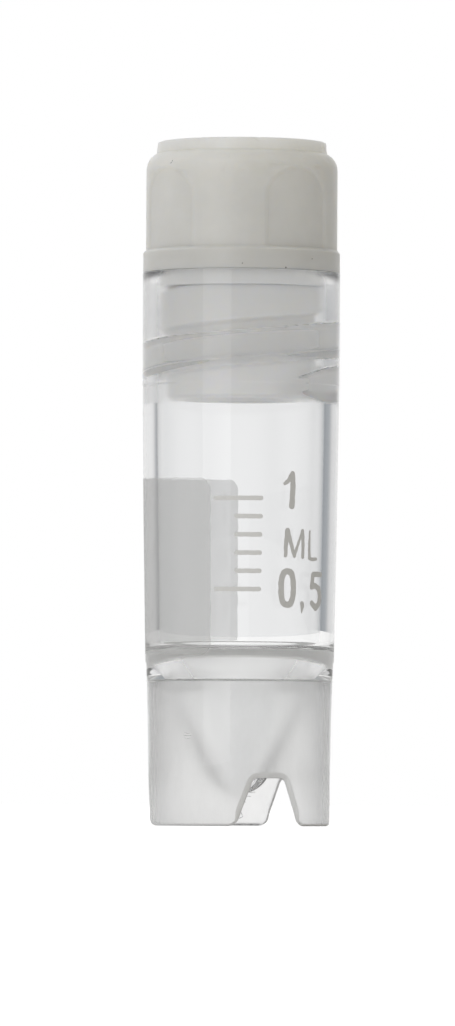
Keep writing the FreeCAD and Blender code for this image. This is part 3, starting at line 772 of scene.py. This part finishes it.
def oval(centre, half, width, power=2.6, steps=40):
    """Brush line round an upright oval, from its middle line's half sizes and the half width."""
    angles = np.linspace(0, 2 * math.pi, steps + 1)
    across = centre[0] + half[0] * np.sign(np.cos(angles)) * np.abs(np.cos(angles)) ** (2 / power)
    height = centre[1] + half[1] * np.sign(np.sin(angles)) * np.abs(np.sin(angles)) ** (2 / power)
    return [(u, v, width) for u, v in zip(across.tolist(), height.tolist())]


def tilted(field, slope, pivot):
    """The same field with its level lines falling by the slope towards +across."""
    return lambda across, height: field(across, height + slope * (across - pivot))


def plate(low, high, corner):
    """Distance field of a plate with round corners."""
    centre = ((low[0] + high[0]) / 2, (low[1] + high[1]) / 2)
    half = ((high[0] - low[0]) / 2 - corner, (high[1] - low[1]) / 2 - corner)

    def field(across, height):
        over = np.abs(across - centre[0]) - half[0]
        above = np.abs(height - centre[1]) - half[1]
        outside = np.hypot(np.maximum(over, 0), np.maximum(above, 0))
        return outside + np.minimum(np.maximum(over, above), 0) - corner

    return field


def worn(field, amount, scale):
    """The same field with a slightly uneven edge, as screen ink leaves it."""

    def uneven(across, height):
        u, v = across * scale, height * scale
        wave = np.sin(u * 5.1 + 1.3 * np.sin(v * 3.3)) * np.sin(v * 6.7 + 0.6)
        wave = wave + 0.6 * np.sin(u * 11.3 + v * 8.9)
        return field(across, height) + amount * wave

    return uneven


def field_union(fields):
    """Distance field of several shapes together."""
    return lambda across, height: np.min([item(across, height) for item in fields], axis=0)


def onto_edge(field, across, height, border, cell):
    """Grid points with those on the border moved onto the field's edge by Newton's method."""
    reach = 0.25 * cell
    for _ in range(3):
        value = field(across, height)
        slope_across = (field(across + reach, height) - field(across - reach, height)) / (2 * reach)
        slope_height = (field(across, height + reach) - field(across, height - reach)) / (2 * reach)
        steepness = np.maximum(slope_across ** 2 + slope_height ** 2, 0.2)
        step = np.clip(value / steepness, -0.6 * cell, 0.6 * cell)
        across = np.where(border, across - step * slope_across, across)
        height = np.where(border, height - step * slope_height, height)
    return across, height


def printed(name, field, low, high, cell, material):
    """Thin slab of ink that covers the field's inside, wrapped round the tube. low and high are
    corners of the area to look at, and cell is the size of the mesh's cells."""
    columns, rows = (np.arange(start, end + cell, cell) for start, end in zip(low, high))
    across, height = np.meshgrid(columns, rows, indexing="ij")
    middle = ((corners[:-1, :-1] + corners[1:, 1:]) / 2 for corners in (across, height))
    kept = field(*middle) < 0
    padded = np.pad(kept, 1)
    touched = np.sum([padded[:-1, :-1], padded[1:, :-1], padded[:-1, 1:], padded[1:, 1:]], axis=0)
    used = touched > 0
    across, height = onto_edge(field, across, height, used & (touched < 4), cell)
    number = np.cumsum(used.ravel()).reshape(used.shape) - 1
    across, height = across[used], height[used]
    azimuth = np.degrees(across / PRINT_RADIUS)
    top = place(azimuth, wall_radius(height) + INK_HIGH, height)
    bottom = place(azimuth, wall_radius(height) + INK_LOW, height)
    total = len(across)
    i, j = np.nonzero(kept)
    quads = np.stack([number[i, j], number[i + 1, j], number[i + 1, j + 1], number[i, j + 1]], axis=-1)
    edges = {}
    for quad in quads.tolist():
        for start, end in zip(quad, quad[1:] + quad[:1]):
            edges[(start, end)] = True
    sides = [(end, start, start + total, end + total) for start, end in edges if (end, start) not in edges]
    faces = quads.tolist() + (quads[:, ::-1] + total).tolist() + sides
    obj = new_piece(name, np.concatenate([top, bottom]), faces, [material], smooth=False)
    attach(obj, "tube")
    return obj


def make_print():
    for index in range(MARKS):
        height = TOP_MARK - MARK_PITCH * index
        start = LONG_START if index in LONG_MARKS else SHORT_START
        line = stroke([(start + 0.14, height, 0.14), (MARK_END - 0.02 * index, height, 0.145)])
        low, high = (start - 0.1, height - 0.25), (MARK_END + 0.31, height + 0.25)
        printed("graduation_%d" % (index + 1), worn(line, 0.008, 1.7), low, high, 0.05, tick_ink)
    for name, points in GLYPHS.items():
        places = np.array(points)[:, :2]
        low, high = places.min(axis=0) - 0.3, places.max(axis=0) + 0.3
        printed(name, worn(stroke(points), 0.01, 1.3), low, high, MEDIUM, mark_ink)
    zero = worn(stroke(oval((3.12, 14.90), (0.445, 1.045), 0.2)), 0.01, 1.3)
    printed("numeral_zero", zero, (2.3, 13.3), (3.9, 16.3), MEDIUM, mark_ink)
    field = tilted(plate(FIELD_LOW, FIELD_HIGH, FIELD_CORNER), 0.018, FIELD_HIGH[0])
    printed("writing_field", worn(field, 0.02, 0.6), (-19.3, 10.4), (-1.5, 22.4), COARSE, field_ink)


def make_scuff():
    """Three short light scratches low on the skirt."""
    lines = [
        stroke([(-3.95, 5.67, 0.02), (-3.66, 5.63, 0.035), (-3.36, 5.64, 0.02)]),
        stroke([(-3.88, 5.83, 0.015), (-3.66, 5.78, 0.025), (-3.45, 5.79, 0.015)]),
        stroke([(-3.86, 5.49, 0.012), (-3.6, 5.47, 0.02), (-3.42, 5.49, 0.012)]),
    ]
    printed("scuff", worn(field_union(lines), 0.006, 3.0), (-4.1, 5.35), (-3.25, 5.95), FINE, scratch)


def speck(name, azimuth, radius, height, size, body, seed):
    """Small flattened grain of dust stuck to a surface."""
    rng = np.random.default_rng(seed)
    rings, columns = 7, 12
    polar = np.linspace(0.12, math.pi - 0.12, rings)[:, None]
    around = np.arange(columns) * 2 * math.pi / columns
    bumps = 1 + 0.125 * rng.standard_normal((rings, columns))
    out = 0.35 * size * np.cos(polar) * bumps
    flat = size * np.sin(polar) * bumps
    angle = azimuth + np.degrees(flat * np.cos(around) / radius)
    rows = place(angle, radius + out, height + 0.8 * flat * np.sin(around))
    faces = grid_faces(rings, columns)[:, ::-1].tolist()
    faces.append(list(range(columns)))
    faces.append(list(range(rings * columns - 1, (rings - 1) * columns - 1, -1)))
    obj = new_piece(name, rows.reshape(-1, 3), faces, [dust])
    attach(obj, body)
    return obj


def fibre(name, points, thickness, body, material):
    """Short hair or scratch on a surface, through (azimuth, radius, height) points."""
    azimuths, radii, heights = np.array(points).T
    path = place(azimuths, radii + thickness / 2, heights)
    path[0] += (path[1] - path[0]) * 0.01
    ahead = np.gradient(path, axis=0)
    ahead /= np.linalg.norm(ahead, axis=1)[:, None]
    side = np.cross(ahead, [0.0, 0.0, 1.0]) + 1e-6
    side /= np.linalg.norm(side, axis=1)[:, None]
    other = np.cross(side, ahead)
    sides = 6
    around = (np.arange(sides) * 2 * math.pi / sides)[:, None]
    offset = side[:, None] * np.cos(around) + other[:, None] * np.sin(around)
    rows = path[:, None] + offset * thickness * MM / 2
    faces = grid_faces(len(points), sides).tolist()
    faces.append(list(range(sides - 1, -1, -1)))
    faces.append(list(range((len(points) - 1) * sides, len(points) * sides)))
    obj = new_piece(name, rows.reshape(-1, 3), faces, [material])
    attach(obj, body)
    return obj


def make_dust():
    speck("dust_collar_front", 26.4, COLLAR_RADIUS, 34.98, 0.055, "cap", 3)
    speck("dust_collar_left", 0.4, COLLAR_RADIUS, 35.2, 0.04, "cap", 5)
    speck("dust_collar_right", 45.3, COLLAR_RADIUS, 35.6, 0.035, "cap", 7)
    speck("dust_wall", 26.5, 6.24, 31.2, 0.03, "tube", 9)
    speck("dust_edge", -84.0, 6.21, 26.0, 0.03, "tube", 13)
    fibre("fibre_shoulder", [
        (-50.2, 6.02, 41.56), (-49.6, 6.02, 41.52), (-49.0, 6.02, 41.53), (-48.5, 6.02, 41.60),
        (-48.1, 6.02, 41.62), (-47.6, 6.02, 41.60), (-47.1, 6.01, 41.68), (-46.7, 6.0, 41.80),
    ], 0.022, "cap", dust)


def make_scratches():
    """Fine scratches on the skirt's inside at the back, seen through the front notch."""
    radius = SKIRT_INSIDE - 0.04
    lines = [(174.5, 1.86, 2.6), (177.0, 1.50, 2.0), (171.0, 2.12, 2.2)]
    steps = (-1, -0.5, 0, 0.5, 1)
    for number, (azimuth, height, reach) in enumerate(lines):
        line = [(azimuth + reach * step, radius, height + 0.02 * math.sin(9 * step)) for step in steps]
        fibre("scratch_inside_%d" % number, line, 0.03, "tube", graze)
    curl = [
        (180.7, 1.23), (180.0, 1.06), (179.3, 0.92), (180.4, 0.74), (181.0, 0.60),
        (180.3, 0.49), (179.3, 0.47), (177.3, 0.57), (178.0, 0.72), (178.6, 0.88),
    ]
    fibre("scratch_curl", [(azimuth, radius, height) for azimuth, height in curl], 0.035, "tube", graze)


# ---- Studio --------------------------------------------------------------------------

def by_ray(tree, values, rest):
    """Colour by the kind of ray, from (Light Path output, colour or socket) pairs, the last of
    which wins. rest is the colour or socket for all other rays."""
    path = tree.nodes.new("ShaderNodeLightPath")
    result = rest
    for output, value in values:
        mix = tree.nodes.new("ShaderNodeMix")
        mix.data_type = "RGBA"
        tree.links.new(path.outputs[output], mix.inputs[0])
        for source, target in ((result, mix.inputs[6]), (value, mix.inputs[7])):
            if isinstance(source, tuple):
                target.default_value = (*source, 1)
            else:
                tree.links.new(source, target)
        result = mix.outputs[2]
    return result


def round_ramp(tree, stops):
    """Colour by the direction's azimuth behind the object: 0 straight behind, positive to the right."""
    direction = tree.nodes.new("ShaderNodeTexCoord").outputs["Generated"]
    gradient = tree.nodes.new("ShaderNodeTexGradient")
    gradient.gradient_type = "RADIAL"
    tree.links.new(direction, gradient.inputs[0])
    ramp = tree.nodes.new("ShaderNodeValToRGB")
    fill_ramp(ramp, sorted(((0.75 - angle / 360) % 1.0, colour) for angle, colour in stops))
    tree.links.new(gradient.outputs["Fac"], ramp.inputs[0])
    return ramp.outputs[0]


def grey(value, blue=0.0):
    """Neutral colour, or one that leans to blue."""
    return (value * (1 - blue), value, value * (1 + blue))


def make_world():
    """Plain studio that is white to the camera, with a darker rim for what the vial bends and
    reflects, so that its edges show."""
    world = bpy.data.worlds.new("studio")
    bpy.context.scene.world = world
    world.use_nodes = True
    tree = world.node_tree
    tree.nodes.clear()
    seen_through = round_ramp(tree, [
        (0, grey(0.87)), (5, grey(0.85)), (12, grey(0.81)), (20, grey(0.77)), (27, grey(0.66)),
        (33, grey(0.45, 0.03)), (38, grey(0.36, 0.06)), (54, grey(0.33, 0.06)), (68, grey(0.7)),
        (84, grey(0.82)), (112, grey(0.95)), (135, grey(0.6)), (158, grey(0.95)), (179.9, grey(1)),
        (-10, grey(0.84)), (-25, grey(0.83)), (-33, grey(0.79)), (-38, grey(0.71)), (-41, grey(0.6)),
        (-44, grey(0.42, 0.03)), (-48, grey(0.34, 0.03)), (-54, grey(0.4)), (-68, grey(0.75)),
        (-84, grey(0.82)), (-112, grey(0.95)), (-135, grey(0.6)), (-158, grey(0.95)),
    ])
    reflected = round_ramp(tree, [
        (0, grey(1)), (20, grey(0.9)), (36, grey(0.4)), (60, grey(0.35)), (85, grey(0.35)),
        (179.9, grey(0.25)), (-20, grey(0.98)), (-40, grey(0.7)), (-60, grey(0.7)), (-85, grey(0.5)),
        (-120, grey(0.3)),
    ])
    scattered = round_ramp(tree, [
        (0, grey(0.9)), (45, grey(0.6)), (90, (0.42, 0.40, 0.355)), (135, (0.44, 0.425, 0.385)),
        (179.9, grey(0.5)), (-45, grey(0.8)), (-90, grey(0.62)), (-135, grey(0.52)),
    ])
    colour = by_ray(tree, [
        ("Is Glossy Ray", reflected), ("Is Transmission Ray", seen_through), ("Is Camera Ray", grey(1)),
    ], scattered)
    background = tree.nodes.new("ShaderNodeBackground")
    output = tree.nodes.new("ShaderNodeOutputWorld")
    tree.links.new(colour, background.inputs["Color"])
    tree.links.new(background.outputs[0], output.inputs["Surface"])


def make_floor():
    """Pale floor that stays white to the camera and keeps a soft shadow."""
    half = 3.0
    vertices = [(x * half, y * half, AXIS.z) for x, y in ((-1, -1), (1, -1), (1, 1), (-1, 1))]
    material = bpy.data.materials.new("floor")
    material.use_nodes = True
    tree = material.node_tree
    tree.nodes.clear()
    diffuse = tree.nodes.new("ShaderNodeBsdfDiffuse")
    diffuse.inputs["Color"].default_value = (*grey(0.8), 1)
    glow = tree.nodes.new("ShaderNodeEmission")
    strength = by_ray(tree, [
        ("Is Glossy Ray", grey(0.2)), ("Is Transmission Ray", grey(0.5)), ("Is Camera Ray", grey(0.6)),
    ], grey(0))
    tree.links.new(strength, glow.inputs["Color"])
    total = tree.nodes.new("ShaderNodeAddShader")
    output = tree.nodes.new("ShaderNodeOutputMaterial")
    tree.links.new(diffuse.outputs[0], total.inputs[0])
    tree.links.new(glow.outputs[0], total.inputs[1])
    tree.links.new(total.outputs[0], output.inputs["Surface"])
    floor = new_piece("floor", vertices, [(0, 1, 2, 3)], [material], smooth=False)


def softbox(name, azimuth, distance, low, high, half_angle, radiance):
    """Upright rectangular lamp that faces the object and spans twice the half angle from it.
    Distances are in metres."""
    width = 2 * distance * math.tan(math.radians(half_angle))
    data = bpy.data.lights.new(name, "AREA")
    data.shape = "RECTANGLE"
    data.size = width
    data.size_y = high - low
    data.energy = radiance * math.pi * width * (high - low)
    lamp = bpy.data.objects.new(name, data)
    angle = math.radians(azimuth)
    lamp.location = (distance * math.sin(angle), -distance * math.cos(angle), (low + high) / 2)
    lamp.rotation_euler = (math.pi / 2, 0, angle)
    lamp.visible_camera = False
    lamp.visible_transmission = False
    bpy.context.scene.collection.objects.link(lamp)
    return lamp


def make_camera():
    """Nearly level with the base and looking slightly up at the vial's middle, with a long lens."""
    distance, eye, centre = 0.56, 0.0015, 0.019755
    aside = 0.000725
    seen_height = 64.8546 * MM        # height that the picture covers at the vial
    lean = math.radians(-0.28)
    data = bpy.data.cameras.new("camera")
    data.sensor_fit = "AUTO"
    data.sensor_width = 36
    data.lens = data.sensor_width / seen_height * math.hypot(distance, centre - eye)
    data.clip_start = 0.01
    data.clip_end = 20
    camera = bpy.data.objects.new("camera", data)
    camera.location = (AXIS.x - aside, AXIS.y - distance, AXIS.z + eye)
    camera.rotation_euler = (math.pi / 2 + math.atan2(centre - eye, distance), lean, 0)
    bpy.context.scene.collection.objects.link(camera)
    bpy.context.scene.camera = camera


make_tube()
make_cap()
make_ring()
make_print()
make_scuff()
make_dust()
make_scratches()

make_world()
make_floor()
softbox("key", azimuth=-28, distance=0.13, low=0.0005, high=0.16, half_angle=16.6, radiance=1.15)
make_camera()
bpy.context.scene.view_settings.view_transform = "Standard"
